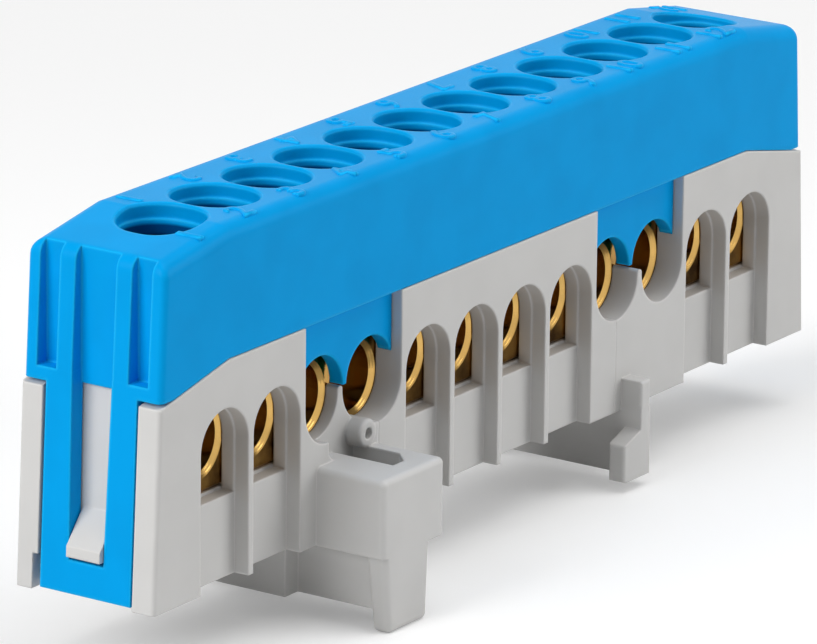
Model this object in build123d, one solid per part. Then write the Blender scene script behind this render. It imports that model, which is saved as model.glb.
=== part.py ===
from build123d import *
import math
import os

# Neutral terminal bar with twelve screw clamps, in millimetres.
# X runs along the bar, the wires enter on the -Y side, and Z points up.
# The origin is on the underside that seats on the mounting rail, below the middle of the row of screws.

# The row of ways
WAYS = 12
PITCH = 6.5

# Brass bar
BAR_WIDTH = 6.4
BAR_HEIGHT = 9.0
BAR_END = 3.6
BAR_EDGE = 0.3
BAR_BELOW_RIM = 1.6
WIRE_BORE = 5.3
WIRE_RIM = 0.35
BORE_BELOW_TOP = 4.9

# Clamping screws
SCREW_DIAMETER = 4.0
SCREW_TRAVEL = 3.6
SCREW_PLAY = 0.05
HEAD_DIAMETER = 5.2
HEAD_HEIGHT = 2.8
TIP_ABOVE_BORE = 0.15
DRIVER_SLOT_WIDTH = 0.9
DRIVER_SLOT_DEPTH = 1.3

# Carrier body
FRONT_REACH = 5.65
BACK_REACH = 6.8
END_MARGIN = 8.65
END_LEAN = 3.2
CARRIER_HEIGHT = 17.0
END_FALL = 1.8
SHOULDER_FROM_END_WAY = 0.6
CARRIER_CORNER = 0.35
BAR_FIT = 0.1
SECTION_WAYS = (4, 9)

# Wire entries in the front wall
ENTRY_RADIUS = 2.95
ENTRY_DEPTH = 1.25
CHAMBER_RADIUS = 2.85
SILL_BELOW_BAR = 0.2
PILLAR_ABOVE_BORE = 0.1
NOTCHED_PAIRS = ((3, 4), (9, 10))

# Hollows moulded into the underside
CORE_LENGTH = 5.3
CORE_ROOF = 1.6
CORE_WALL = 1.5

# Strap recess and snap wedge at each end
POST_WIDTH = 1.95
POST_RELIEF_HEIGHT = 2.7
POST_RELIEF_WIDTH = 0.45
STRAP_FIT = 0.15
WEDGE_WIDTH = 3.0
WEDGE_REACH = 1.9
WEDGE_TOP = 6.4
WEDGE_NOSE = 3.9
WEDGE_NOSE_HEIGHT = 0.8

# Mounting rail that the feet grip, running along Y
RAIL_WIDTH = 35.0
RAIL_MIDDLE = -0.5
RAIL_PLAY = 0.15
RAIL_FLANGE_GAP = 1.3

# Left foot with the release box
BOX_LENGTH = 7.9
BOX_PAST_LEG = 0.3
BOX_REACH = 6.05
BOX_HEIGHT = 6.0
BOX_EDGE = 0.45
LEG_LENGTH = 5.8
LEG_DEPTH = 6.0
LEG_LEFT_TAPER = 0.55
LEG_RIGHT_TAPER = 0.3
LEG_TOP_WIDTH = 1.6
LEG_TIP_WIDTH = 1.3
LEG_EDGE = 0.5
WEB_DEPTH = 4.2
WEB_THICKNESS = 1.5
WEB_INSET = 0.75
PAD_LENGTH = 8.2
PAD_PROUD = 0.9
LIP_REACH = 0.9
LIP_LENGTH = 9.0
RELEASE_SLOT_WIDTH = 2.75
RELEASE_SLOT_OUT = 4.2
RELEASE_SLOT_CORNER = 1.3
RELEASE_SLOT_DEPTH = 4.0
RELEASE_SLOT_TO_LEG = 2.3
PANEL_SIDE = 2.25
PANEL_CORNER = 1.0
BOSS_RADIUS = 1.1
BOSS_ABOVE_BOX = 1.0
BOSS_PROUD = 0.1
BOSS_EDGE = 0.25
DIMPLE_RADIUS = 0.45
DIMPLE_DEPTH = 0.4

# Right foot with the fixed claws
PLATE_THICKNESS = 1.3
PLATE_REACH = 1.9
PLATE_DEPTH = 5.1
POST_RISE = 2.6
POST_EDGE = 0.25
CLAW_REACH = 2.3
CLAW_LENGTH = 1.5
CLAW_DROP = 0.8
CLAW_EDGE = 0.25

# Cover
COVER_HEIGHT = 10.0
COVER_INSET = 0.1
COVER_GAP = 0.05
COVER_WALL = 1.3
COVER_ROOF = 2.4
COVER_EDGE = 1.2
COVER_CORNER = 0.5
COVER_END_LIFT = 0.4
COVER_LEDGE_LENGTH = 1.5
END_DROP = 1.3
RIB = 0.8
DRIVER_HOLE_LENGTH = 6.0
DRIVER_HOLE_WIDTH = 6.7
DRIVER_RIM = 0.18
DRIVER_STEP = 0.15
DRIVER_STEP_DEPTH = 1.1
SKIRT_THICKNESS = 0.8
SKIRT_DEPTH = 0.8
SKIRT_FIT = 0.1
SKIRT_FROM_BAR_END = 1.0

# Cover tabs that close the notched entries from above
TAB_RECESS = 0.85
TAB_THICKNESS = 1.2
TAB_FIT = 0.15
TAB_ARC_RADIUS = 3.05
TAB_ARC_RISE = 0.5
TAB_ABOVE_BORE = 0.6

# Cover straps and the grooves above them
STRAP_WIDTH = 8.1
STRAP_THICKNESS = 1.35
STRAP_BOTTOM = 0.25
STRAP_WINDOW = 3.6
STRAP_WINDOW_TAPER = 0.25
STRAP_BAR = 2.5
END_WALL = 2.9
GROOVE_WIDTH = 1.75
GROOVE_LEDGE = 1.0
GROOVE_DEPTH = 1.25
GROOVE_FADE = 0.6
RIDGE_WIDTH = 1.4

# How far a cut runs past a face, how deep an added piece is rooted, and a tolerance for picking edges
OVERCUT = 1.0
ROOT = 0.5
NEAR = 0.01

# Values that follow from the driving dimensions
ROW_HALF = (WAYS - 1) * PITCH / 2
HALF_LENGTH = ROW_HALF + END_MARGIN
FRONT = -FRONT_REACH
BACK = BACK_REACH
BODY_WIDTH = BACK - FRONT
MIDDLE = (FRONT + BACK) / 2
PANEL = FRONT + ENTRY_DEPTH
LEAN = math.tan(math.radians(END_LEAN))
SHOULDER = ROW_HALF - SHOULDER_FROM_END_WAY
CARRIER_END_HEIGHT = CARRIER_HEIGHT - END_FALL
BAR_HALF_LENGTH = ROW_HALF + BAR_END
BAR_FRONT = -BAR_WIDTH / 2
BAR_TOP = CARRIER_HEIGHT - BAR_BELOW_RIM
BAR_FLOOR = BAR_TOP - BAR_HEIGHT
ENTRY_CENTRE = BAR_TOP - BORE_BELOW_TOP
SILL_HEIGHT = BAR_FLOOR - SILL_BELOW_BAR
SCREW_TIP = ENTRY_CENTRE + WIRE_BORE / 2 + TIP_ABOVE_BORE
HEAD_SEAT = BAR_TOP + SCREW_TRAVEL
HEAD_TOP = HEAD_SEAT + HEAD_HEIGHT
COVER_TOP = CARRIER_HEIGHT + COVER_HEIGHT
COVER_EDGE_HEIGHT = CARRIER_HEIGHT + COVER_GAP
COVER_END_EDGE = CARRIER_END_HEIGHT + COVER_END_LIFT
LEFT_STOP = RAIL_MIDDLE - RAIL_WIDTH / 2 - RAIL_PLAY
RIGHT_STOP = RAIL_MIDDLE + RAIL_WIDTH / 2 + RAIL_PLAY
PLATE_RIGHT = RIGHT_STOP + PLATE_THICKNESS
LEG_LEFT = LEFT_STOP - LEG_LENGTH
BOX_LEFT = LEG_LEFT - BOX_PAST_LEG
BOX_FRONT = FRONT - BOX_REACH
SLOT_LEFT = LEFT_STOP - RELEASE_SLOT_TO_LEG
SLOT_RIGHT = SLOT_LEFT + RELEASE_SLOT_WIDTH
NOTCHED_WAYS = [way for pair in NOTCHED_PAIRS for way in pair]


def way_x(way):
    """Middle of one way, counted from 1 at the left end."""
    return (way - 1) * PITCH - ROW_HALF


def all_ways():
    return range(1, WAYS + 1)


def block(x_range, y_range, z_range):
    """Box given by its limits along each axis."""
    (x0, x1), (y0, y1), (z0, z1) = x_range, y_range, z_range
    middle = Pos((x0 + x1) / 2, (y0 + y1) / 2, (z0 + z1) / 2)
    return middle * Box(abs(x1 - x0), abs(y1 - y0), abs(z1 - z0))


def along_y(outline, y_range):
    """Push an outline drawn in X and Z along Y, between two limits."""
    plane = Plane(origin=(0, y_range[1], 0), x_dir=(1, 0, 0), z_dir=(0, -1, 0))
    return extrude(plane * outline, amount=y_range[1] - y_range[0])


def along_x(outline, x_range):
    """Push an outline drawn in Y and Z along X, between two limits."""
    plane = Plane(origin=(x_range[0], 0, 0), x_dir=(0, 1, 0), z_dir=(1, 0, 0))
    return extrude(plane * outline, amount=x_range[1] - x_range[0])


def outline_of(*points):
    return make_face(Polyline(*points, close=True))


def about_middle(width):
    """Limits in Y of something that is centred on the body's width."""
    return MIDDLE - width / 2, MIDDLE + width / 2


def end_x(z, inset=0.0):
    """Distance of the leaning end face from the middle, at one height."""
    return HALF_LENGTH - z * LEAN - inset


def end_slab(low, high, inner, outer):
    """Outline that follows the leaning end, between two heights and two insets."""
    return outline_of(
        (end_x(low, inner), low), (end_x(low, outer), low),
        (end_x(high, outer), high), (end_x(high, inner), high),
    )


def both_ends(solid):
    """The same solid at the right end and, mirrored, at the left end."""
    return solid + mirror(solid, about=Plane.YZ)


def arch(x, radius, low):
    """Round-topped outline that is open down to one height."""
    legs = Pos(x, (low + ENTRY_CENTRE) / 2) * Rectangle(2 * radius, ENTRY_CENTRE - low)
    return Pos(x, ENTRY_CENTRE) * Circle(radius) + legs


def cradle(x, radius):
    """Round-bottomed outline that is open upwards past the carrier's top."""
    high = CARRIER_HEIGHT + OVERCUT
    legs = Pos(x, (high + ENTRY_CENTRE) / 2) * Rectangle(2 * radius, high - ENTRY_CENTRE)
    return Pos(x, ENTRY_CENTRE) * Circle(radius) + legs


def carrier_block():
    """Outer form: leaning ends, and a top that falls away past the end ways."""
    half_end = end_x(CARRIER_END_HEIGHT)
    outline = outline_of(
        (-HALF_LENGTH, 0), (HALF_LENGTH, 0), (half_end, CARRIER_END_HEIGHT),
        (SHOULDER, CARRIER_HEIGHT), (-SHOULDER, CARRIER_HEIGHT), (-half_end, CARRIER_END_HEIGHT),
    )
    body = along_y(outline, (FRONT, BACK))
    corners = [
        edge for edge in body.edges()
        if abs(edge.center().X) > SHOULDER and abs(edge.center().Z - CARRIER_END_HEIGHT / 2) < NEAR
    ]
    return fillet(corners, CARRIER_CORNER)


def strap_recess():
    """Space between the two corner posts of one end, where the strap lies, wider at the back post's foot."""
    depth = STRAP_THICKNESS + COVER_INSET + STRAP_FIT
    width = BODY_WIDTH - 2 * POST_WIDTH
    high = CARRIER_HEIGHT + OVERCUT
    recess = along_y(end_slab(-OVERCUT, high, depth, -OVERCUT), about_middle(width))
    relief_outline = end_slab(-OVERCUT, POST_RELIEF_HEIGHT, depth, -OVERCUT)
    relief = along_y(relief_outline, (MIDDLE, MIDDLE + width / 2 + POST_RELIEF_WIDTH))
    return both_ends(recess + relief)


def snap_wedge():
    """Ramp with an upright nose, on the end wall, that holds the strap's cross bar down."""
    root = STRAP_THICKNESS + COVER_INSET + STRAP_FIT
    sunk = root + ROOT
    low = WEDGE_NOSE - WEDGE_NOSE_HEIGHT
    outline = outline_of(
        (end_x(WEDGE_TOP, sunk), WEDGE_TOP), (end_x(WEDGE_TOP, root), WEDGE_TOP),
        (end_x(WEDGE_NOSE, root - WEDGE_REACH), WEDGE_NOSE),
        (end_x(low, root - WEDGE_REACH), low), (end_x(low, sunk), low),
    )
    return both_ends(along_y(outline, about_middle(WEDGE_WIDTH)))


def bar_trough():
    """Channel that the brass bar drops into from above."""
    half_length = BAR_HALF_LENGTH + BAR_FIT
    half_width = BAR_WIDTH / 2 + BAR_FIT
    high = CARRIER_HEIGHT + OVERCUT
    return block((-half_length, half_length), (-half_width, half_width), (BAR_FLOOR, high))


def skirt_limits(clearance):
    """Outer limits in X and Y of the cover's locating skirt, or of its rebate."""
    half_length = BAR_HALF_LENGTH - SKIRT_FROM_BAR_END + clearance
    inset = COVER_INSET + COVER_WALL - clearance
    return (-half_length, half_length), (FRONT + inset, BACK - inset)


def skirt_rebate():
    """Step in the carrier's top that takes the cover's locating skirt."""
    x_range, y_range = skirt_limits(SKIRT_FIT)
    floor = CARRIER_HEIGHT - SKIRT_DEPTH - SKIRT_FIT
    return block(x_range, y_range, (floor, CARRIER_HEIGHT + OVERCUT))


def arched_entry(way):
    """Arch in the front wall over a recessed panel, and the wire chamber behind."""
    x = way_x(way)
    outer = along_y(arch(x, ENTRY_RADIUS, -OVERCUT), (FRONT - OVERCUT, PANEL))
    chamber = along_y(arch(x, CHAMBER_RADIUS, SILL_HEIGHT), (PANEL - OVERCUT, BAR_FRONT))
    return outer + chamber


def notched_entry(pair):
    """Two round-bottomed cut-outs with a round-topped pillar between them."""
    left, right = way_x(pair[0]), way_x(pair[1])
    middle = (left + right) / 2
    pillar_radius = (right - left) / 2 - ENTRY_RADIUS
    pillar_top = ENTRY_CENTRE + PILLAR_ABOVE_BORE
    high = CARRIER_HEIGHT + OVERCUT
    above = Pos(middle, (pillar_top + high) / 2) * Rectangle(right - left, high - pillar_top)
    outline = cradle(left, ENTRY_RADIUS) + cradle(right, ENTRY_RADIUS) + above
    cut = along_y(outline, (FRONT - OVERCUT, BAR_FRONT))
    rounded = along_y(Pos(middle, pillar_top) * Circle(pillar_radius), (FRONT, BAR_FRONT))
    return cut - rounded


def underside_core(way):
    """Hollow moulded under one way, so that the walls stay even."""
    x = way_x(way)
    reach = CORE_LENGTH / 2
    high = BAR_FLOOR - CORE_ROOF
    return block((x - reach, x + reach), (PANEL + CORE_WALL, BACK - CORE_WALL), (-OVERCUT, high))


def ways_clear_of_feet():
    """Ways whose underside holds neither foot."""
    reach = CORE_LENGTH / 2
    return [
        way for way in all_ways()
        if not BOX_LEFT - PAD_PROUD - reach < way_x(way) < LEFT_STOP + LIP_REACH + reach
        and not RIGHT_STOP - reach < way_x(way) < PLATE_RIGHT + reach
    ]


def release_box():
    """Box on the front wall that guides the screwdriver to the foot."""
    box = block((BOX_LEFT, BOX_LEFT + BOX_LENGTH), (BOX_FRONT, PANEL), (0, BOX_HEIGHT))
    upright = box.edges().filter_by(Axis.Z).sort_by(Axis.Y)[:2]
    rim = box.faces().sort_by(Axis.Z)[-1].edges().sort_by(Axis.Y)[:-1]
    return fillet(upright + rim, BOX_EDGE)


def foot_leg():
    """Front leg under the release box, narrower and thinner towards its tip."""
    side = outline_of(
        (BOX_FRONT, 0), (BOX_FRONT + LEG_TOP_WIDTH, 0),
        (BOX_FRONT + LEG_TIP_WIDTH, -LEG_DEPTH), (BOX_FRONT, -LEG_DEPTH),
    )
    front = outline_of(
        (LEG_LEFT, 0), (LEFT_STOP, 0),
        (LEFT_STOP - LEG_RIGHT_TAPER, -LEG_DEPTH), (LEG_LEFT + LEG_LEFT_TAPER, -LEG_DEPTH),
    )
    leg = along_x(side, (LEG_LEFT, LEFT_STOP)) & along_y(front, (BOX_FRONT, BOX_FRONT + LEG_TOP_WIDTH))
    tip = leg.faces().sort_by(Axis.Z)[0].edges()
    front_edges = leg.faces().sort_by(Axis.Y)[0].edges()
    upright = [edge for edge in front_edges if abs(edge.tangent_at(0).Z) > abs(edge.tangent_at(0).X)]
    return fillet(tip + upright, LEG_EDGE)


def foot_webs():
    """Outer and inner webs of the left foot, closed at the back."""
    y_range = (BOX_FRONT + LEG_TIP_WIDTH / 2, BACK)
    z_range = (-WEB_DEPTH, ROOT)
    left = BOX_LEFT + WEB_INSET
    outer = block((left, left + WEB_THICKNESS), y_range, z_range)
    inner = block((LEFT_STOP - WEB_THICKNESS, LEFT_STOP), y_range, z_range)
    closing = block((left, LEFT_STOP), (BACK - WEB_THICKNESS, BACK), z_range)
    pad = block((BOX_LEFT - PAD_PROUD, left + ROOT), about_middle(PAD_LENGTH), z_range)
    return outer + inner + closing + pad


def foot_lip():
    """Hook on the inner web that reaches under the rail's flange."""
    outline = outline_of(
        (LEFT_STOP - ROOT, -WEB_DEPTH), (LEFT_STOP, -WEB_DEPTH),
        (LEFT_STOP + LIP_REACH, -RAIL_FLANGE_GAP - LIP_REACH),
        (LEFT_STOP + LIP_REACH, -RAIL_FLANGE_GAP), (LEFT_STOP - ROOT, -RAIL_FLANGE_GAP),
    )
    return along_y(outline, about_middle(LIP_LENGTH))


def release_slot():
    """Screwdriver slot in the box's top, from the recessed panel forwards, with one corner cut off."""
    floor = BOX_HEIGHT - RELEASE_SLOT_DEPTH
    slot = block((SLOT_LEFT, SLOT_RIGHT), (FRONT - RELEASE_SLOT_OUT, PANEL), (floor, BOX_HEIGHT + OVERCUT))
    corner = slot.edges().filter_by(Axis.Z).sort_by(Axis.Y)[:2].sort_by(Axis.X)[-1]
    return chamfer(corner, RELEASE_SLOT_CORNER)


def pillar_panel():
    """Recess around the first pillar, as deep as the panels and down to the box, with one rounded corner."""
    z_range = (BOX_HEIGHT, CARRIER_HEIGHT + OVERCUT)
    panel = block((SLOT_LEFT - PANEL_SIDE, SLOT_RIGHT), (FRONT - OVERCUT, PANEL), z_range)
    corner = panel.edges().filter_by(Axis.Y).sort_by(Axis.Z)[:2].sort_by(Axis.X)[0]
    return fillet(corner, PANEL_CORNER)


def slot_boss():
    """Small round boss with a dimple, at the right side of the panel above the slot."""
    z = BOX_HEIGHT + BOSS_ABOVE_BOX
    face = FRONT - BOSS_PROUD
    boss = along_y(Pos(SLOT_RIGHT, z) * Circle(BOSS_RADIUS), (face, PANEL + ROOT))
    boss = fillet(boss.edges().sort_by(Axis.Y)[0], BOSS_EDGE)
    dimple = along_y(Pos(SLOT_RIGHT, z) * Circle(DIMPLE_RADIUS), (face - OVERCUT, face + DIMPLE_DEPTH))
    return boss, dimple


def claw_plate():
    """Right foot: a plate with a post and a claw at the front and the back."""
    x_range = (RIGHT_STOP, PLATE_RIGHT)
    plate = block(x_range, (FRONT - PLATE_REACH, BACK + PLATE_REACH), (-PLATE_DEPTH, ROOT))
    front = (FRONT - PLATE_REACH, PANEL)
    rear = (BACK - ENTRY_DEPTH, BACK + PLATE_REACH)
    return plate + foot_post(x_range, front, -1) + foot_post(x_range, rear, 1)


def foot_post(x_range, y_range, side):
    """Upright post on one side of the body, with its claw below."""
    post = block(x_range, y_range, (-PLATE_DEPTH, POST_RISE))
    outer = post.faces().sort_by(Axis.Y)[0 if side < 0 else -1]
    post = fillet(outer.edges().sort_by(Axis.Z)[1:], POST_EDGE)
    edge = outer.center().Y
    return post + claw(sorted((edge, edge - side * CLAW_LENGTH)))


def claw(y_range):
    """Block that points under the rail's right flange, with a sloping top."""
    tip = RIGHT_STOP - CLAW_REACH
    outline = outline_of(
        (tip, -PLATE_DEPTH), (RIGHT_STOP + ROOT, -PLATE_DEPTH),
        (RIGHT_STOP + ROOT, -RAIL_FLANGE_GAP), (RIGHT_STOP, -RAIL_FLANGE_GAP),
        (tip, -RAIL_FLANGE_GAP - CLAW_DROP),
    )
    solid = along_y(outline, y_range)
    tip_edges = solid.faces().sort_by(Axis.X)[0].edges()
    return fillet(tip_edges, CLAW_EDGE)


def carrier_body():
    """Body with its entries, hollows and snap wedges, without the feet."""
    cuts = [strap_recess(), bar_trough(), skirt_rebate(), pillar_panel()]
    cuts += [arched_entry(way) for way in all_ways() if way not in NOTCHED_WAYS]
    cuts += [notched_entry(pair) for pair in NOTCHED_PAIRS]
    cuts += [underside_core(way) for way in ways_clear_of_feet()]
    return carrier_block() - cuts + snap_wedge()


def body_sections():
    """The body as three solids that meet face to face in the notched ways."""
    body = carrier_body()
    first, second = (way_x(way) for way in SECTION_WAYS)
    far = HALF_LENGTH + OVERCUT
    limits = {"left": (-far, first), "middle": (first, second), "right": (second, far)}
    y_range = (FRONT - OVERCUT, BACK + OVERCUT)
    z_range = (-OVERCUT, CARRIER_HEIGHT + OVERCUT)
    return {name: body & block(x_range, y_range, z_range) for name, x_range in limits.items()}


def make_carrier():
    """Grey moulding: three sections of the body, with a foot on each outer one."""
    sections = body_sections()
    boss, dimple = slot_boss()
    left = sections["left"] + [release_box(), foot_leg(), foot_webs(), foot_lip()]
    sections["left"] = left - release_slot() + boss - dimple
    sections["right"] = sections["right"] + claw_plate()
    return sections


def make_bar():
    """Brass bar with a cross bore and a clamping screw's hole for every way."""
    half_width = BAR_WIDTH / 2
    bar = block((-BAR_HALF_LENGTH, BAR_HALF_LENGTH), (-half_width, half_width), (BAR_FLOOR, BAR_TOP))
    bar = chamfer(bar.edges().filter_by(Axis.X), BAR_EDGE)
    return bar - [bar_holes(way) for way in all_ways()]


def bar_holes(way):
    """Cross bore with a chamfered front rim, and the hole for the clamping screw."""
    x = way_x(way)
    radius = WIRE_BORE / 2
    profile = outline_of(
        (0, BAR_FRONT - OVERCUT), (radius + WIRE_RIM + OVERCUT, BAR_FRONT - OVERCUT),
        (radius, BAR_FRONT + WIRE_RIM), (radius, -BAR_FRONT + OVERCUT), (0, -BAR_FRONT + OVERCUT),
    )
    bore = Pos(x, 0, ENTRY_CENTRE) * revolve(profile, axis=Axis.Y)
    length = BAR_TOP + OVERCUT - ENTRY_CENTRE
    hole = Pos(x, 0, ENTRY_CENTRE + length / 2) * Cylinder(SCREW_DIAMETER / 2 + SCREW_PLAY, length)
    return bore + hole


def make_screw(way):
    """Clamping screw in its raised place, with a driver slot in its head."""
    shank = SCREW_DIAMETER / 2
    head = HEAD_DIAMETER / 2
    profile = outline_of(
        (0, SCREW_TIP), (shank, SCREW_TIP), (shank, HEAD_SEAT),
        (head, HEAD_SEAT), (head, HEAD_TOP), (0, HEAD_TOP),
    )
    screw = revolve(Plane.XZ * profile, axis=Axis.Z)
    half_slot = DRIVER_SLOT_WIDTH / 2
    slot = block((-head, head), (-half_slot, half_slot), (HEAD_TOP - DRIVER_SLOT_DEPTH, HEAD_TOP + OVERCUT))
    return Pos(way_x(way), 0, 0) * (screw - slot)


def cover_block():
    """Outer form of the cover, rounded on every edge above its lower rim."""
    corner_x = end_x(COVER_TOP, COVER_INSET)
    corner_z = COVER_TOP - END_DROP
    ledge_x = end_x(COVER_END_EDGE, COVER_INSET)
    step_x = ledge_x - COVER_LEDGE_LENGTH
    right = [
        (SHOULDER, COVER_EDGE_HEIGHT), (step_x, COVER_END_EDGE), (ledge_x, COVER_END_EDGE),
        (corner_x, corner_z), (SHOULDER, COVER_TOP),
    ]
    left = [(-x, z) for x, z in reversed(right)]
    body = along_y(outline_of(*right, *left), (FRONT + COVER_INSET, BACK - COVER_INSET))
    upper = [
        edge for edge in body.edges()
        if edge.center().Z > corner_z - NEAR and abs(abs(edge.center().X) - SHOULDER) > NEAR
    ]
    body = fillet(upper, COVER_EDGE)
    upright = [
        edge for edge in body.edges()
        if abs(edge.center().X) > step_x and edge.length > (corner_z - COVER_END_EDGE) / 2
        and abs(edge.tangent_at(0).Z) > 1 / 2
    ]
    return fillet(upright, COVER_CORNER)


def driver_hole(way):
    """Stepped hole in the roof over one screw."""
    x = way_x(way)
    slope = END_DROP / (end_x(COVER_TOP, COVER_INSET) - SHOULDER)
    drop = max(0, abs(x) - SHOULDER) * slope
    lip_top = COVER_TOP - drop - DRIVER_STEP_DEPTH
    outer = Plane(origin=(x, 0, lip_top)) * hole_outline(0)
    inner = Plane(origin=(x, 0, lip_top - COVER_ROOF)) * hole_outline(DRIVER_STEP)
    return extrude(outer, amount=COVER_ROOF) + extrude(inner, amount=COVER_ROOF + OVERCUT)


def hole_outline(step):
    return SlotOverall(DRIVER_HOLE_WIDTH - 2 * step, DRIVER_HOLE_LENGTH - 2 * step, rotation=90)


def bevel_hole_rims(cover):
    """Small bevel where each driver hole meets the roof."""
    reach = DRIVER_HOLE_WIDTH / 2 + NEAR
    low = COVER_TOP - DRIVER_STEP_DEPTH + NEAR
    rims = [
        edge for edge in cover.edges()
        if edge.center().Z > low and all(abs(corner.Y) < reach for corner in edge.vertices())
    ]
    return chamfer(rims, DRIVER_RIM)


def inside_cover():
    """Limits in Y of the space between the cover's long walls."""
    inset = COVER_INSET + COVER_WALL
    return FRONT + inset, BACK - inset


def screw_chamber(way):
    """Space in the cover around one screw head, open below."""
    x = way_x(way)
    reach = (PITCH - RIB) / 2
    z_range = (COVER_END_EDGE - OVERCUT, COVER_TOP - COVER_ROOF)
    return block((x - reach, x + reach), inside_cover(), z_range)


def end_hollow():
    """Hollow behind each end wall, beyond the last chamber."""
    near = ROW_HALF + (PITCH + RIB) / 2
    far = end_x(COVER_TOP, COVER_INSET + END_WALL)
    z_range = (COVER_END_EDGE - OVERCUT, COVER_TOP - END_DROP - COVER_ROOF)
    return both_ends(block((near, far), inside_cover(), z_range))


def end_channel(y_range, low):
    """Upright channel in an end face, shallower towards its top."""
    high = COVER_TOP
    floor = COVER_INSET + GROOVE_DEPTH
    outline = outline_of(
        (end_x(low, floor), low), (end_x(low, -OVERCUT), low),
        (end_x(high, -OVERCUT), high), (end_x(high, floor - GROOVE_FADE), high),
    )
    return along_y(outline, y_range)


def end_channels():
    """Centre recess over the strap's window, and a groove on each side of it."""
    window = STRAP_WINDOW / 2
    inner = window + RIDGE_WIDTH
    outer = inner + GROOVE_WIDTH
    ledge = COVER_END_EDGE + GROOVE_LEDGE
    centre = end_channel(about_middle(STRAP_WINDOW), COVER_END_EDGE - OVERCUT)
    front = end_channel((MIDDLE - outer, MIDDLE - inner), ledge)
    rear = end_channel((MIDDLE + inner, MIDDLE + outer), ledge)
    return both_ends(centre + front + rear)


def end_strap():
    """U-shaped strap that hangs from an end wall and snaps over the wedge."""
    high = COVER_END_EDGE + GROOVE_LEDGE
    side = end_slab(STRAP_BOTTOM, high, COVER_INSET + STRAP_THICKNESS, COVER_INSET)
    low = STRAP_BOTTOM + STRAP_BAR
    top = high + OVERCUT
    wide, narrow = STRAP_WINDOW / 2, STRAP_WINDOW / 2 - STRAP_WINDOW_TAPER
    window = outline_of(
        (MIDDLE - narrow, low), (MIDDLE + narrow, low), (MIDDLE + wide, top), (MIDDLE - wide, top),
    )
    return both_ends(along_y(side, about_middle(STRAP_WIDTH)) - along_x(window, (SHOULDER, HALF_LENGTH)))


def entry_tab(pair):
    """Tab that hangs in a notch and rounds off the two entries from above."""
    left, right = way_x(pair[0]), way_x(pair[1])
    length = right - left + 2 * (ENTRY_RADIUS - TAB_FIT)
    low = ENTRY_CENTRE + TAB_ABOVE_BORE
    high = COVER_EDGE_HEIGHT + COVER_WALL
    outline = Pos((left + right) / 2, (low + high) / 2) * Rectangle(length, high - low)
    for x in (left, right):
        outline = outline - Pos(x, ENTRY_CENTRE + TAB_ARC_RISE) * Circle(TAB_ARC_RADIUS)
    front = FRONT + TAB_RECESS
    return along_y(outline, (front, front + TAB_THICKNESS))


def locating_skirt():
    """Thin rail inside each long side of the cover that drops into the carrier."""
    x_range, (front, back) = skirt_limits(0)
    z_range = (CARRIER_HEIGHT - SKIRT_DEPTH, COVER_EDGE_HEIGHT + COVER_WALL)
    front_rail = block(x_range, (front, front + SKIRT_THICKNESS), z_range)
    back_rail = block(x_range, (back - SKIRT_THICKNESS, back), z_range)
    return front_rail + back_rail


def make_cover():
    """Blue clip-on cover with its holes, ribs, tabs and straps."""
    cover = cover_block()
    cover = cover - [driver_hole(way) for way in all_ways()]
    cover = bevel_hole_rims(cover)
    hollows = [screw_chamber(way) for way in all_ways()] + [end_hollow(), end_channels()]
    cover = cover - hollows
    tabs = [entry_tab(pair) for pair in NOTCHED_PAIRS]
    return cover + [end_strap(), locating_skirt()] + tabs


def main():
    os.makedirs("parts", exist_ok=True)
    for name, section in make_carrier().items():
        export_step(section, f"parts/carrier_{name}.step")
    export_step(make_cover(), "parts/cover.step")
    export_step(make_bar(), "parts/brass_bar.step")
    for way in all_ways():
        export_step(make_screw(way), f"parts/screw_{way:02d}.step")


main()
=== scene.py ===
import bpy
import bmesh
import math
from mathutils import Matrix, Vector


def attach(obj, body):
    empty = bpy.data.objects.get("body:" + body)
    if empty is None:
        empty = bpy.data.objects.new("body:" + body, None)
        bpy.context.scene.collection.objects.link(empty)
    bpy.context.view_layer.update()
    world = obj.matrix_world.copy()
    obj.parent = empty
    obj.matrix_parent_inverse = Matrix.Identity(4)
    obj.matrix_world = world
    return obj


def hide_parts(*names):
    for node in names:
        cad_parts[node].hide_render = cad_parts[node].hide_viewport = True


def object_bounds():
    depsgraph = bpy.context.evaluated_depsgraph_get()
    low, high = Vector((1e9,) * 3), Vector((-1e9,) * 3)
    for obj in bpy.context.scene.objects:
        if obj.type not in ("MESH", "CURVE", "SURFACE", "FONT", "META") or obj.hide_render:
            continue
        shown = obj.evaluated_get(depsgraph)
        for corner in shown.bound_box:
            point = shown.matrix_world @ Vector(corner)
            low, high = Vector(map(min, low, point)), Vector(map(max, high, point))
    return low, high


# Neutral terminal bar: a grey carrier for a 35 mm rail, a brass bar with twelve clamping screws, a blue cover.
# Everything is in metres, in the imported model's frame: X along the bar, front at -Y, rail seat at Z = 0.
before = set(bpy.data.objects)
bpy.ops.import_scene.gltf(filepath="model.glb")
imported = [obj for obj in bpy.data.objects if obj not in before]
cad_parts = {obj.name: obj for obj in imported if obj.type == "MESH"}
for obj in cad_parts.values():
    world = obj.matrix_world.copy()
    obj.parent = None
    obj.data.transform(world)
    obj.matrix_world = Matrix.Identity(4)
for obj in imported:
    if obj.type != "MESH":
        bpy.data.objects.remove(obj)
cad_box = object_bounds()


# Brass bar
# One drawn bar of free-cutting brass, sawn to length and cross-bored for the wires. It drops into the carrier
# from above. Only the countersunk rims of its bores are seen, deep in the wire entries.
MM = 0.001
PITCH = 6.5 * MM


def linear(code):
    """sRGB hex colour as the linear values that Blender takes."""
    parts = [int(code[i:i + 2], 16) / 255 for i in (1, 3, 5)]
    return [p / 12.92 if p <= 0.04045 else ((p + 0.055) / 1.055) ** 2.4 for p in parts] + [1.0]


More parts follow.
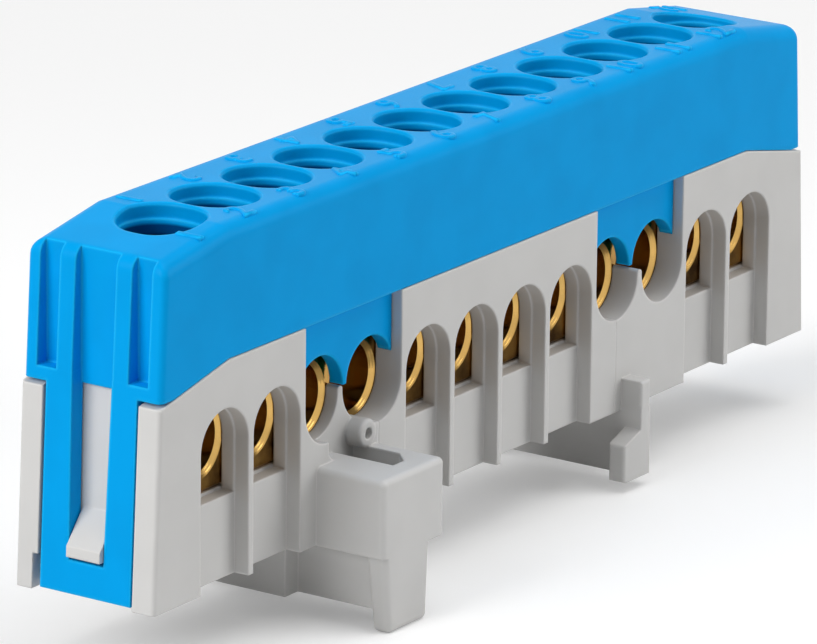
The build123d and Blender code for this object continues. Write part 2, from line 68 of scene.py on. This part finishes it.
def add(tree, kind, settings=None, **links):
    """Add a node. Lower-case settings are its own, the others are its sockets' values, and links feed sockets."""
    node = tree.nodes.new(kind)
    for key, value in (settings or {}).items():
        if isinstance(key, str) and key[0].islower():
            setattr(node, key, value)
        else:
            node.inputs[key].default_value = value
    for key, source in links.items():
        numbered = key.startswith("in") and key[2:].isdigit()
        tree.links.new(source, node.inputs[int(key[2:]) if numbered else key.replace("_", " ")])
    return node


def new_material(name):
    """Empty node material and its tree."""
    material = bpy.data.materials.new(name)
    material.use_nodes = True
    material.node_tree.nodes.clear()
    return material, material.node_tree


def finish_material(tree, shader):
    """Give the material the surface that this shader makes."""
    tree.links.new(shader.outputs[0], add(tree, "ShaderNodeOutputMaterial").inputs["Surface"])


# Free-cutting brass, drawn and then countersunk: fine lines run along the bar, and each bore's rim has turned
# rings.
# Each rim gets a lighter colour, partly the freshly turned metal and partly a painted highlight: a bright
# crescent.
BRASS = "#B98F4A"
BRASS_DARK = "#5C401A"
# Lighter rim colour: partly freshly turned brass, partly a painted highlight.
BRASS_TURNED_AND_HIGHLIGHT = "#DDB46A"
BRASS_ROUGH = 0.26
BRASS_SMOOTH = 0.12
DRAWN_LINE = 0.12 * MM
LINE_STRETCH = 50
TURNED_RING = 0.16 * MM
RING_RELIEF = 0.3
TURNED_AND_HIGHLIGHT_SHARE = 0.7
STAIN = 2.5 * MM
BORE_HEIGHT = 10.5 * MM
RIM_FULL = 2.9 * MM
RIM_OUT = 3.1 * MM
brass, tree = new_material("drawn_brass_countersunk")
place = add(tree, "ShaderNodeTexCoord").outputs["Object"]
stretched = add(tree, "ShaderNodeMapping", {"Scale": (1 / LINE_STRETCH, 1.0, 1.0)}, Vector=place).outputs[0]
lines = add(tree, "ShaderNodeTexNoise", {"Scale": 1 / DRAWN_LINE, "Detail": 2.0}, Vector=stretched).outputs["Fac"]
stain = add(tree, "ShaderNodeTexNoise", {"Scale": 1 / STAIN, "Detail": 3.0}, Vector=place).outputs["Fac"]
axes = add(tree, "ShaderNodeSeparateXYZ", Vector=place).outputs
along = add(tree, "ShaderNodeMath", {"operation": "DIVIDE", 1: PITCH}, in0=axes[0]).outputs[0]
cell = add(tree, "ShaderNodeMath", {"operation": "FRACT"}, in0=along).outputs[0]
off_middle = add(
    tree, "ShaderNodeMath", {"operation": "MULTIPLY_ADD", 1: PITCH, 2: -PITCH / 2}, in0=cell
).outputs[0]
up = add(tree, "ShaderNodeMath", {"operation": "SUBTRACT", 1: BORE_HEIGHT}, in0=axes[2]).outputs[0]
from_bore = add(tree, "ShaderNodeCombineXYZ", X=off_middle, Y=up).outputs[0]
radius = add(tree, "ShaderNodeVectorMath", {"operation": "LENGTH"}, in0=from_bore).outputs["Value"]
turns = add(
    tree, "ShaderNodeMath", {"operation": "MULTIPLY", 1: 2 * math.pi / TURNED_RING}, in0=radius
).outputs[0]
rings = add(tree, "ShaderNodeMath", {"operation": "SINE"}, in0=turns).outputs[0]
near_bore = add(tree, "ShaderNodeMapRange", {"From Min": RIM_OUT, "From Max": RIM_FULL}, Value=radius).outputs[0]
faint_rings = add(tree, "ShaderNodeMath", {"operation": "MULTIPLY", 1: RING_RELIEF}, in0=rings).outputs[0]
relief = add(
    tree, "ShaderNodeMix", {"data_type": "FLOAT"}, Factor=near_bore, in2=lines, in3=faint_rings
).outputs[0]
hue = add(tree, "ShaderNodeValToRGB", Fac=stain)
for stop, (position, tone) in zip(hue.color_ramp.elements, ((0.3, BRASS_DARK), (0.6, BRASS))):
    stop.position = position
    stop.color = linear(tone)
bump = add(tree, "ShaderNodeBump", {"Strength": 0.4, "Distance": 0.02 * MM}, Height=relief).outputs[0]
gloss = add(
    tree, "ShaderNodeMapRange",
    {"From Min": 0.3, "From Max": 0.7, "To Min": BRASS_ROUGH, "To Max": BRASS_SMOOTH}, Value=stain
).outputs[0]
# Painted highlight mixed with the turned metal's lighter colour near each bore.
turned_and_highlight = add(tree, "ShaderNodeMath", {"operation": "MULTIPLY", 1: TURNED_AND_HIGHLIGHT_SHARE}, in0=near_bore).outputs[0]
colour = add(
    tree, "ShaderNodeMix", {"data_type": "RGBA", 7: linear(BRASS_TURNED_AND_HIGHLIGHT)}, in6=hue.outputs[0], in0=turned_and_highlight
).outputs[2]
finish_material(tree, add(
    tree, "ShaderNodeBsdfPrincipled", {"Metallic": 1.0}, Base_Color=colour, Roughness=gloss, Normal=bump
))
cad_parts["brass_bar"].material_slots[0].material = brass


# Carrier
# One moulding of light grey polyamide that holds the brass bar and grips the rail with its two feet. The packed
# model gives it as three nodes that meet face to face, so all three get the same finish.
#
# Light grey polyamide from a spark-eroded mould: a fine matt grain, slightly uneven in tone, with rounded edges
# that get a painted highlight in a lighter colour. The grain is drawn at 0.12 mm, coarser than the real 0.04 mm.
CARRIER_GREY = "#CCCBC9"
CARRIER_SHADE = "#C9C8C6"
# Painted highlight: lighter colour along the rounded edges.
CARRIER_EDGE_HIGHLIGHT = "#DEDCDA"
CARRIER_GRAIN = 0.12 * MM
CARRIER_ROUNDING = 0.26 * MM
CARRIER_ROUGHNESS = 0.5
CARRIER_LEVEL = 0.3
GRAIN_ROUGHNESS = 0.04
CLOUD = 5.0 * MM
NYLON_IOR = 1.53


def worn_edge(tree, rounding):
    """Rounded normal, and a mask that is 1 on the outer edges for a painted highlight, both from the Bevel node.
    """
    soft = add(tree, "ShaderNodeBevel", {"samples": 8, "Radius": rounding}).outputs[0]
    flat = add(tree, "ShaderNodeNewGeometry").outputs["True Normal"]
    match = add(tree, "ShaderNodeVectorMath", {"operation": "DOT_PRODUCT"}, in0=soft, in1=flat)
    painted_highlight_mask = add(
        tree, "ShaderNodeMapRange", {"From Min": 1.0, "From Max": 0.85}, Value=match.outputs["Value"]
    ).outputs[0]
    return soft, painted_highlight_mask


def moulded_plastic(name, body, shade, edge_highlight, grain, rounding, roughness, level):
    """Material for one moulded plastic, with its cloudy tone, its grain, and its rounded edges with a painted
    highlight.
    """
    material, tree = new_material(name)
    place = add(tree, "ShaderNodeTexCoord").outputs["Object"]
    cloud = add(tree, "ShaderNodeTexNoise", {"Scale": 1 / CLOUD, "Detail": 2.0}, Vector=place).outputs["Fac"]
    specks = add(tree, "ShaderNodeTexNoise", {"Scale": 1 / grain, "Detail": 2.0}, Vector=place).outputs["Fac"]
    hue = add(tree, "ShaderNodeValToRGB", Fac=cloud)
    for stop, (position, tone) in zip(hue.color_ramp.elements, ((0.35, shade), (0.6, body))):
        stop.position = position
        stop.color = linear(tone)
    soft, painted_highlight_mask = worn_edge(tree, rounding)
    # Painted highlight: a lighter colour mixed in along the outer edges.
    colour = add(
        tree, "ShaderNodeMix", {"data_type": "RGBA", 7: linear(edge_highlight)}, in6=hue.outputs[0], in0=painted_highlight_mask
    ).outputs[2]
    rough = add(tree, "ShaderNodeMapRange", {
        "From Min": 0.3, "From Max": 0.7,
        "To Min": roughness + GRAIN_ROUGHNESS, "To Max": roughness - GRAIN_ROUGHNESS,
    }, Value=specks).outputs[0]
    bump = add(
        tree, "ShaderNodeBump", {"Strength": 0.15, "Distance": 0.02 * MM}, Height=specks, Normal=soft
    ).outputs[0]
    finish_material(tree, add(
        tree, "ShaderNodeBsdfPrincipled", {"IOR": NYLON_IOR, "Specular IOR Level": level},
        Base_Color=colour, Roughness=rough, Normal=bump
    ))
    return material


grey = moulded_plastic(
    "moulded_light_grey_polyamide", CARRIER_GREY, CARRIER_SHADE, CARRIER_EDGE_HIGHLIGHT, CARRIER_GRAIN, CARRIER_ROUNDING,
    CARRIER_ROUGHNESS, CARRIER_LEVEL
)
for name in ("carrier_left", "carrier_middle", "carrier_right"):
    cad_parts[name].material_slots[0].material = grey


# Clamping screws
# Twelve M4 screws of zinc-plated steel, turned and rolled, one over each bore. They stand in the raised, open
# place. Each is a detailed screw with its thread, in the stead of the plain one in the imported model.
WAYS = 12
SHANK_RADIUS = 2.0 * MM
HEAD_RADIUS = 2.6 * MM
TIP = 13.3 * MM
SEAT = 19.0 * MM
TOP = 21.8 * MM
THREAD_PITCH = 0.7 * MM
THREAD_DEPTH = 0.38 * MM
SLOT_WIDTH = 0.9 * MM
SLOT_DEPTH = 1.3 * MM
TIP_CHAMFER = 0.45 * MM
HEAD_CHAMFER = 0.35 * MM
SHANK_IN_HEAD = 0.3 * MM
SHANK_ROWS = 92
HEAD_ROWS = 31
SHARP_EDGE = math.radians(28)
MERGE = 0.001 * MM


def way_middle(way):
    """X of a way's screw, bore and hole."""
    return (way - (WAYS + 1) / 2) * PITCH


def new_tree(name, *inputs):
    """Geometry Nodes tree with a mesh output and named inputs, each with its kind and its value."""
    tree = bpy.data.node_groups.new(name, "GeometryNodeTree")
    tree.interface.new_socket("Mesh", in_out="OUTPUT", socket_type="NodeSocketGeometry")
    for label, kind, value in inputs:
        socket = tree.interface.new_socket(label, in_out="INPUT", socket_type="NodeSocket" + kind)
        socket.default_value = value
    return tree, tree.nodes.new("NodeGroupInput").outputs, tree.nodes.new("NodeGroupOutput")


def turned_rod():
    """Round rod about Z, closed at both ends, with chamfered ends and a thread as deep as asked.

    A flat grid is rolled up: its X is the turn and its Y the row, and its first and last rows close the ends.
    """
    tree, given, out = new_tree(
        "turned_rod", ("Low", "Float", 0.0), ("High", "Float", TOP), ("Radius", "Float", SHANK_RADIUS),
        ("Chamfer", "Float", HEAD_CHAMFER), ("Thread Pitch", "Float", THREAD_PITCH),
        ("Thread Depth", "Float", 0.0), ("Sides", "Int", 48), ("Rows", "Int", 60),
    )
    columns = add(tree, "ShaderNodeMath", {"operation": "ADD", 1: 1}, in0=given["Sides"]).outputs[0]
    grid = add(
        tree, "GeometryNodeMeshGrid", {"Size X": 1.0, "Size Y": 1.0}, Vertices_X=columns, Vertices_Y=given["Rows"]
    )
    spot = add(tree, "ShaderNodeSeparateXYZ", Vector=add(tree, "GeometryNodeInputPosition").outputs[0]).outputs
    sockets = {"grid x": spot[0], "grid y": spot[1]}
    for label in ("Low", "High", "Radius", "Chamfer", "Thread Pitch", "Thread Depth", "Rows"):
        sockets[label] = given[label]
    for result, operation, *terms in (
        ("turn", "ADD", "grid x", 0.5),
        ("grid share", "ADD", "grid y", 0.5),
        ("last row", "SUBTRACT", "Rows", 1),
        ("row", "MULTIPLY", "grid share", "last row"),
        ("rows up", "SUBTRACT", "row", 1),
        ("wall rows", "SUBTRACT", "Rows", 3),
        ("climb", "DIVIDE", "rows up", "wall rows"),
        ("climb to top", "MINIMUM", "climb", 1.0),
        ("share", "MAXIMUM", "climb to top", 0.0),
        ("length", "SUBTRACT", "High", "Low"),
        ("z", "MULTIPLY_ADD", "share", "length", "Low"),
        ("threads up", "DIVIDE", "z", "Thread Pitch"),
        ("threads round", "SUBTRACT", "threads up", "turn"),
        ("phase", "FRACT", "threads round"),
        ("off crest", "SUBTRACT", "phase", 0.5),
        ("half flank", "ABSOLUTE", "off crest"),
        ("flank", "MULTIPLY", "half flank", 2.0),
        ("steep flank", "MULTIPLY_ADD", "flank", 1.35, -0.2),
        ("flat crest", "MAXIMUM", "steep flank", 0.0),
        ("flat root", "MINIMUM", "flat crest", 1.0),
        ("thread cut", "MULTIPLY", "flat root", "Thread Depth"),
        ("low chamfer", "ADD", "Low", "Chamfer"),
        ("below it", "SUBTRACT", "low chamfer", "z"),
        ("high chamfer", "SUBTRACT", "High", "Chamfer"),
        ("above it", "SUBTRACT", "z", "high chamfer"),
        ("past either", "MAXIMUM", "below it", "above it"),
        ("chamfer cut", "MAXIMUM", "past either", 0.0),
        ("cut", "MAXIMUM", "chamfer cut", "thread cut"),
        ("open wall", "SUBTRACT", "Radius", "cut"),
        ("before last", "SUBTRACT", "last row", 0.5),
        ("past first", "GREATER_THAN", "row", 0.5),
        ("not at last", "LESS_THAN", "row", "before last"),
        ("between ends", "MULTIPLY", "past first", "not at last"),
        ("wall", "MULTIPLY", "open wall", "between ends"),
        ("angle", "MULTIPLY", "turn", 2 * math.pi),
        ("cosine", "COSINE", "angle"),
        ("sine", "SINE", "angle"),
        ("x", "MULTIPLY", "wall", "cosine"),
        ("y", "MULTIPLY", "wall", "sine"),
    ):
        values = {spot: term for spot, term in enumerate(terms) if not isinstance(term, str)}
        sources = {f"in{spot}": sockets[term] for spot, term in enumerate(terms) if isinstance(term, str)}
        sockets[result] = add(tree, "ShaderNodeMath", {"operation": operation, **values}, **sources).outputs[0]
    place = add(tree, "ShaderNodeCombineXYZ", X=sockets["x"], Y=sockets["y"], Z=sockets["z"])
    moved = add(tree, "GeometryNodeSetPosition", Geometry=grid.outputs["Mesh"], Position=place.outputs[0])
    closed = add(tree, "GeometryNodeMergeByDistance", {"Distance": MERGE}, Geometry=moved.outputs[0])
    tree.links.new(closed.outputs[0], out.inputs[0])
    return tree


def clamping_screw(rod, material):
    """Screw about Z with a rolled thread, a chamfered head and a slot for the screwdriver."""
    tree, given, out = new_tree(
        "clamping_screw", ("Middle X", "Float", 0.0), ("Tip", "Float", TIP), ("Seat", "Float", SEAT),
        ("Top", "Float", TOP), ("Shank Radius", "Float", SHANK_RADIUS), ("Head Radius", "Float", HEAD_RADIUS),
        ("Thread Pitch", "Float", THREAD_PITCH), ("Thread Depth", "Float", THREAD_DEPTH),
        ("Slot Width", "Float", SLOT_WIDTH), ("Slot Depth", "Float", SLOT_DEPTH),
    )
    shank_end = add(tree, "ShaderNodeMath", {"operation": "ADD", 1: SHANK_IN_HEAD}, in0=given["Seat"])
    shank = add(
        tree, "GeometryNodeGroup", {"node_tree": rod, "Chamfer": TIP_CHAMFER, "Rows": SHANK_ROWS},
        Low=given["Tip"], High=shank_end.outputs[0], Radius=given["Shank Radius"],
        Thread_Pitch=given["Thread Pitch"], Thread_Depth=given["Thread Depth"],
    )
    head = add(
        tree, "GeometryNodeGroup", {"node_tree": rod, "Chamfer": HEAD_CHAMFER, "Rows": HEAD_ROWS},
        Low=given["Seat"], High=given["Top"], Radius=given["Head Radius"],
    )
    across = add(tree, "ShaderNodeMath", {"operation": "MULTIPLY", 1: 3}, in0=given["Head Radius"])
    tall = add(tree, "ShaderNodeMath", {"operation": "MULTIPLY", 1: 2}, in0=given["Slot Depth"])
    size = add(tree, "ShaderNodeCombineXYZ", X=across.outputs[0], Y=given["Slot Width"], Z=tall.outputs[0])
    cutter = add(tree, "GeometryNodeMeshCube", Size=size.outputs[0])
    at_top = add(tree, "ShaderNodeCombineXYZ", Z=given["Top"])
    raised = add(tree, "GeometryNodeTransform", Geometry=cutter.outputs[0], Translation=at_top.outputs[0])
    slotted = add(
        tree, "GeometryNodeMeshBoolean", {"operation": "DIFFERENCE", "solver": "EXACT"},
        Mesh_1=head.outputs[0], Mesh_2=raised.outputs[0]
    )
    whole = add(tree, "GeometryNodeJoinGeometry")
    tree.links.new(shank.outputs[0], whole.inputs[0])
    tree.links.new(slotted.outputs[0], whole.inputs[0])
    bend = add(tree, "GeometryNodeInputMeshEdgeAngle").outputs[0]
    sharp = add(tree, "ShaderNodeMath", {"operation": "GREATER_THAN", 1: SHARP_EDGE}, in0=bend).outputs[0]
    smooth = add(tree, "GeometryNodeSetShadeSmooth", {"domain": "FACE"}, Geometry=whole.outputs[0])
    edged = add(
        tree, "GeometryNodeSetShadeSmooth", {"domain": "EDGE", "Shade Smooth": False}, Geometry=smooth.outputs[0],
        Selection=sharp,
    )
    aside = add(tree, "ShaderNodeCombineXYZ", X=given["Middle X"])
    placed = add(tree, "GeometryNodeTransform", Geometry=edged.outputs[0], Translation=aside.outputs[0])
    real = add(tree, "GeometryNodeRealizeInstances", Geometry=placed.outputs[0])
    finished = add(tree, "GeometryNodeSetMaterial", {"Material": material}, Geometry=real.outputs[0])
    tree.links.new(finished.outputs[0], out.inputs[0])
    return tree


def plain_mesh(holder):
    """Mesh of an object with its curve or its modifiers worked out. The object itself goes."""
    bpy.context.scene.collection.objects.link(holder)
    bpy.context.view_layer.update()
    depsgraph = bpy.context.evaluated_depsgraph_get()
    mesh = bpy.data.meshes.new_from_object(holder.evaluated_get(depsgraph))
    bpy.data.objects.remove(holder)
    return mesh


def grown(name, tree, values):
    """Plain mesh object made by a Geometry Nodes tree with these values for its named inputs."""
    holder = bpy.data.objects.new(name + "_tree", bpy.data.meshes.new(name + "_tree"))
    modifier = holder.modifiers.new("make", "NODES")
    modifier.node_group = tree
    for item in tree.interface.items_tree:
        if item.name in values:
            modifier[item.identifier] = values[item.name]
    piece = bpy.data.objects.new(name, plain_mesh(holder))
    bpy.context.scene.collection.objects.link(piece)
    return piece


# Zinc-plated steel, clear passivated: cool grey metal with a faint blue and straw cast, glossy but softened by
# the plating's fine bloom. The bloom is drawn at 0.2 mm.
ZINC = "#9A9DA3"
ZINC_STRAW = "#918D7E"
ZINC_ROUGH = 0.5
ZINC_SMOOTH = 0.36
CAST = 1.6 * MM
BLOOM = 0.2 * MM
zinc, tree = new_material("zinc_plated_steel")
place = add(tree, "ShaderNodeTexCoord").outputs["Object"]
cast = add(tree, "ShaderNodeTexNoise", {"Scale": 1 / CAST, "Detail": 2.0}, Vector=place).outputs["Fac"]
bloom = add(tree, "ShaderNodeTexNoise", {"Scale": 1 / BLOOM, "Detail": 3.0}, Vector=place).outputs["Fac"]
hue = add(tree, "ShaderNodeValToRGB", Fac=cast)
for stop, (position, tone) in zip(hue.color_ramp.elements, ((0.35, ZINC_STRAW), (0.6, ZINC))):
    stop.position = position
    stop.color = linear(tone)
gloss = add(
    tree, "ShaderNodeMapRange",
    {"From Min": 0.3, "From Max": 0.7, "To Min": ZINC_ROUGH, "To Max": ZINC_SMOOTH}, Value=bloom
).outputs[0]
bump = add(tree, "ShaderNodeBump", {"Strength": 0.12, "Distance": 0.01 * MM}, Height=bloom).outputs[0]
finish_material(tree, add(
    tree, "ShaderNodeBsdfPrincipled", {"Metallic": 1.0}, Base_Color=hue.outputs[0], Roughness=gloss, Normal=bump
))
screw_tree = clamping_screw(turned_rod(), zinc)
for way in range(1, WAYS + 1):
    label = f"screw_{way:02d}"
    piece = grown(f"threaded_{label}", screw_tree, {"Middle X": way_middle(way)})
    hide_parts(label)
    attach(piece, label)


# Cover
# One moulding of cyan-blue polyamide that clips over the carrier with a strap at each end. It keeps fingers off
# the screws, and its stepped holes guide the screwdriver.
#
# Cyan-blue polyamide from a finely ground mould: smoother than the carrier, so its flat roof mirrors the bright
# studio at a low angle; its edges get a painted highlight in a lighter colour. Its grain is drawn at 0.15 mm.
COVER_BLUE = "#009DE3"
COVER_SHADE = "#0099DE"
# Painted highlight: lighter colour along the rounded edges.
COVER_EDGE_HIGHLIGHT = "#1ABAFA"
# Painted shade for the hole walls below their lips.
HOLE_PAINTED_SHADE = "#004680"
COVER_GRAIN = 0.15 * MM
COVER_ROUNDING = 0.36 * MM
COVER_ROUGHNESS = 0.33
COVER_LEVEL = 0.03
LIP_LOW = 25.55 * MM
LIP_FADE = 0.2 * MM
HOLE_REACH = 3.6 * MM
HOLE_ROW_REACH = 39.2 * MM
blue = moulded_plastic(
    "moulded_cyan_blue_polyamide", COVER_BLUE, COVER_SHADE, COVER_EDGE_HIGHLIGHT, COVER_GRAIN, COVER_ROUNDING,
    COVER_ROUGHNESS, COVER_LEVEL
)
# Painted shade: the real roof is thin and just below a hole's lip opens into the dark space round the screw, so
# the hole walls below the lip are coloured dark blue.
tree = blue.node_tree
shader = next(node for node in tree.nodes if node.type == "BSDF_PRINCIPLED")
axes = add(tree, "ShaderNodeSeparateXYZ", Vector=add(tree, "ShaderNodeTexCoord").outputs["Object"]).outputs
below = add(
    tree, "ShaderNodeMapRange", {"From Min": LIP_LOW, "From Max": LIP_LOW - LIP_FADE}, Value=axes[2]
).outputs[0]
for axis, reach in ((0, HOLE_ROW_REACH), (1, HOLE_REACH)):
    off = add(tree, "ShaderNodeMath", {"operation": "ABSOLUTE"}, in0=axes[axis]).outputs[0]
    near = add(tree, "ShaderNodeMath", {"operation": "LESS_THAN", 1: reach}, in0=off).outputs[0]
    below = add(tree, "ShaderNodeMath", {"operation": "MULTIPLY"}, in0=below, in1=near).outputs[0]
open_roof = shader.inputs["Base Color"].links[0].from_socket
painted_hole_shade = add(tree, "ShaderNodeMix", {"data_type": "RGBA", 7: linear(HOLE_PAINTED_SHADE)}, in6=open_roof, in0=below)
tree.links.new(painted_hole_shade.outputs[2], shader.inputs["Base Color"])
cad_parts["cover"].material_slots[0].material = blue


# Way numbers
# Raised plain numbers 1 to 12, moulded with the cover: at each way, one stands front left of the hole and one,
# turned round to be read from behind, stands back right of it. Their strokes are rounded, so they don't mirror.
NUMBER_HEIGHT = 2.1 * MM
NUMBER_PROUD = 0.12 * MM
NUMBER_ROUND = 0.12 * MM
NUMBER_THINNING = 0.3
NUMBER_ASIDE = 1.75 * MM
FIGURE_SHARE = 0.7
FRONT_ROW = -4.02 * MM
BACK_ROW = 4.45 * MM
ROOF = 27.0 * MM
ROOF_FLAT_HALF = 35.15 * MM
ROOF_END_HALF = 42.79 * MM
ROOF_END_DROP = 1.3 * MM
SUNK = 0.05 * MM


def number_mesh(text):
    """Solid number with rounded strokes, lying in the XY plane and ending at the origin."""
    curve = bpy.data.curves.new("number", "FONT")
    curve.body = text
    curve.size = NUMBER_HEIGHT / FIGURE_SHARE
    curve.align_y = "CENTER"
    curve.extrude = NUMBER_PROUD / 2
    curve.bevel_depth = NUMBER_ROUND
    curve.bevel_resolution = 3
    curve.offset = -NUMBER_ROUND * NUMBER_THINNING
    curve.resolution_u = 4
    mesh = plain_mesh(bpy.data.objects.new("number", curve))
    mesh.transform(Matrix.Translation((-max(v.co.x for v in mesh.vertices), 0, 0)))
    return mesh


def on_roof(x, y, turned):
    """Place of a number on the roof, tilted where the roof falls away at the ends."""
    past = max(0.0, abs(x) - ROOF_FLAT_HALF)
    slope = ROOF_END_DROP / (ROOF_END_HALF - ROOF_FLAT_HALF)
    tilt = math.copysign(math.atan(slope), x) if past else 0.0
    spot = Vector((x, y, ROOF - past * slope - SUNK))
    return Matrix.Translation(spot) @ Matrix.Rotation(tilt, 4, "Y") @ Matrix.Rotation(turned, 4, "Z")


numbers = bmesh.new()
for way in range(1, WAYS + 1):
    middle = way_middle(way)
    for x, y, turned in ((middle - NUMBER_ASIDE, FRONT_ROW, 0.0), (middle + NUMBER_ASIDE, BACK_ROW, math.pi)):
        mesh = number_mesh(str(way))
        mesh.transform(on_roof(x, y, turned))
        numbers.from_mesh(mesh)
        bpy.data.meshes.remove(mesh)
bmesh.ops.remove_doubles(numbers, verts=numbers.verts, dist=MERGE)
bmesh.ops.recalc_face_normals(numbers, faces=numbers.faces)
for face in numbers.faces:
    face.smooth = True
number_faces = bpy.data.meshes.new("way_numbers")
numbers.to_mesh(number_faces)
numbers.free()
number_faces.materials.append(blue)
way_numbers = bpy.data.objects.new("way_numbers", number_faces)
bpy.context.scene.collection.objects.link(way_numbers)
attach(way_numbers, "housing")


# Studio
# A pale floor under the part, soft boxes to its left, in front of it and above it, and a white surround that the
# camera and glossy surfaces see. The camera stands 0.56 m away with a long lens, at the photograph's angle.
#
# White paper, matt: it keeps the part's soft shadow, and further out it fades into the white surround.
PAPER = "#E6E6E6"
WHITE = "#FFFFFF"
PAPER_LIFT = 0.25
SURROUND_LIGHT = 0.09
SURROUND_SEEN = 1.0
FLOOR_HALF = 3.0
FADE_START = 90 * MM
FADE_END = 320 * MM


def seen_rays(tree):
    """1 for the rays that the camera sends, straight, mirrored or through glass, and 0 for those that light."""
    ray = add(tree, "ShaderNodeLightPath").outputs
    mirrored = add(
        tree, "ShaderNodeMath", {"operation": "MAXIMUM"}, in0=ray["Is Camera Ray"], in1=ray["Is Glossy Ray"]
    ).outputs[0]
    return add(
        tree, "ShaderNodeMath", {"operation": "MAXIMUM"}, in0=mirrored, in1=ray["Is Transmission Ray"]
    ).outputs[0]


lowest = cad_box[0][2]
floor_faces = bpy.data.meshes.new("floor")
floor_faces.from_pydata(
    [(x, y, lowest) for x, y in ((-1, -1), (1, -1), (1, 1), (-1, 1))], [], [(0, 1, 2, 3)]
)
floor_faces.transform(Matrix.Diagonal((FLOOR_HALF, FLOOR_HALF, 1, 1)))
floor = bpy.data.objects.new("floor", floor_faces)
bpy.context.scene.collection.objects.link(floor)
paper, tree = new_material("white_paper_floor")
seen = seen_rays(tree)
lift = add(tree, "ShaderNodeMath", {"operation": "MULTIPLY", 1: PAPER_LIFT}, in0=seen)
matt = add(tree, "ShaderNodeBsdfDiffuse", {"Color": linear(PAPER)})
glow = add(tree, "ShaderNodeEmission", {"Color": linear(WHITE)}, Strength=lift.outputs[0])
both = add(tree, "ShaderNodeAddShader", in0=matt.outputs[0], in1=glow.outputs[0])
place = add(tree, "ShaderNodeTexCoord").outputs["Object"]
away = add(tree, "ShaderNodeVectorMath", {"operation": "LENGTH"}, in0=place).outputs["Value"]
far = add(
    tree, "ShaderNodeMapRange",
    {"interpolation_type": "SMOOTHSTEP", "From Min": FADE_START, "From Max": FADE_END}, Value=away
).outputs[0]
faded = add(tree, "ShaderNodeMath", {"operation": "MULTIPLY"}, in0=far, in1=seen).outputs[0]
white = add(tree, "ShaderNodeEmission", {"Color": linear(WHITE), "Strength": SURROUND_SEEN}).outputs[0]
finish_material(tree, add(tree, "ShaderNodeMixShader", Fac=faded, in1=both.outputs[0], in2=white))
floor_faces.materials.append(paper)

world = bpy.data.worlds.new("white_surround")
bpy.context.scene.world = world
world.use_nodes = True
tree = world.node_tree
tree.nodes.clear()
seen = seen_rays(tree)
plain = add(tree, "ShaderNodeBackground", {"Color": linear(WHITE), "Strength": SURROUND_LIGHT})
bright = add(tree, "ShaderNodeBackground", {"Color": linear(WHITE), "Strength": SURROUND_SEEN})
choice = add(tree, "ShaderNodeMixShader", Fac=seen, in1=plain.outputs[0], in2=bright.outputs[0])
tree.links.new(choice.outputs[0], add(tree, "ShaderNodeOutputWorld").inputs["Surface"])

AIM = Vector((0, 0, 12 * MM))
for name, spot, size, power in (
    ("left_box", (-0.43, 0.13, 0.27), 0.3, 2.0),
    ("front_box", (0.32, -0.45, 0.2), 0.35, 1.3),
    ("top_box", (0.05, -0.1, 0.5), 0.45, 1.6),
):
    lamp = bpy.data.lights.new(name, "AREA")
    lamp.size = size
    lamp.energy = power
    holder = bpy.data.objects.new(name, lamp)
    holder.location = spot
    holder.rotation_euler = (AIM - Vector(spot)).to_track_quat("-Z", "Y").to_euler()
    bpy.context.scene.collection.objects.link(holder)

RIGHT = Vector((0.56524, -0.82486, 0.01025))
UP = Vector((0.23117, 0.17031, 0.95789))
TOWARDS = Vector((-0.79187, -0.53907, 0.28695))
STAND = Vector((-0.44027, -0.29689, 0.16936))
SENSOR_WIDTH = 36.0
FOCAL_LENGTH = 320.2
view = bpy.data.cameras.new("view")
view.sensor_width = SENSOR_WIDTH
view.lens = FOCAL_LENGTH
view.clip_start = 0.01
view.clip_end = 20.0
camera = bpy.data.objects.new("view", view)
turn = Matrix((RIGHT, UP, TOWARDS)).transposed().to_4x4()
camera.matrix_world = Matrix.Translation(STAND) @ turn
bpy.context.scene.collection.objects.link(camera)
bpy.context.scene.camera = camera
bpy.context.scene.view_settings.view_transform = "Standard"
